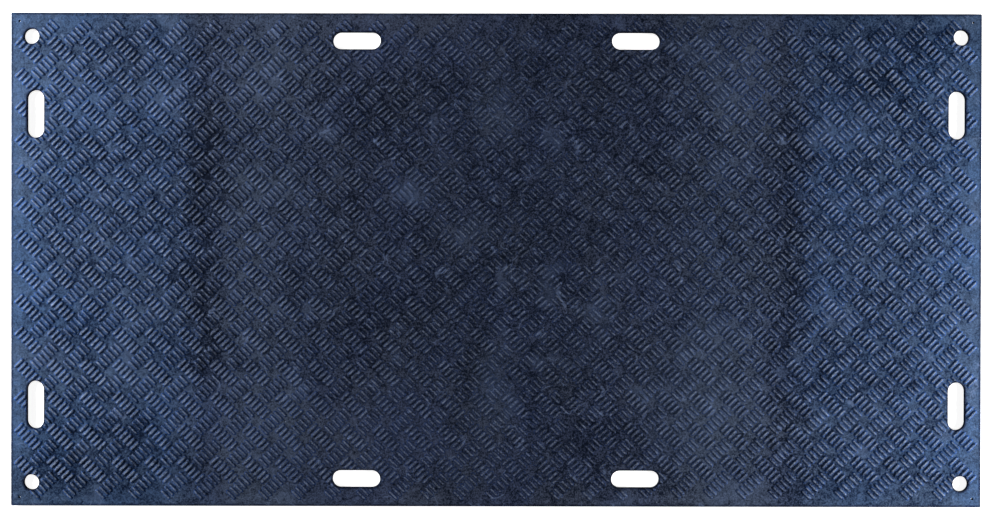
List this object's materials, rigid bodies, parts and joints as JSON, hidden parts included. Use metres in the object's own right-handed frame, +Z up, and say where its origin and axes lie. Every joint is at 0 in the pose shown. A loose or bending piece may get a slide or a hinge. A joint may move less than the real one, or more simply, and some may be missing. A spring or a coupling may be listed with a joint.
{
  "type": "ground protection mat",
  "caption": "Flat moulded polyethylene ground protection mat with a raised bar tread, hand slots along its edges and pin holes at its corners",
  "frame": {"origin": "on the ground under the middle of the mat", "axes": "+X along the length, to the right in the picture; +Y along the width, to the top of the picture; +Z up, out of the tread"},
  "size_m": [2.4, 1.22, 0.013],
  "materials": {
    "polyethylene": "satin black, moulded"
  },
  "bodies": {
    "root": {"ground_mat": "polyethylene"}
  },
  "joints": []
}
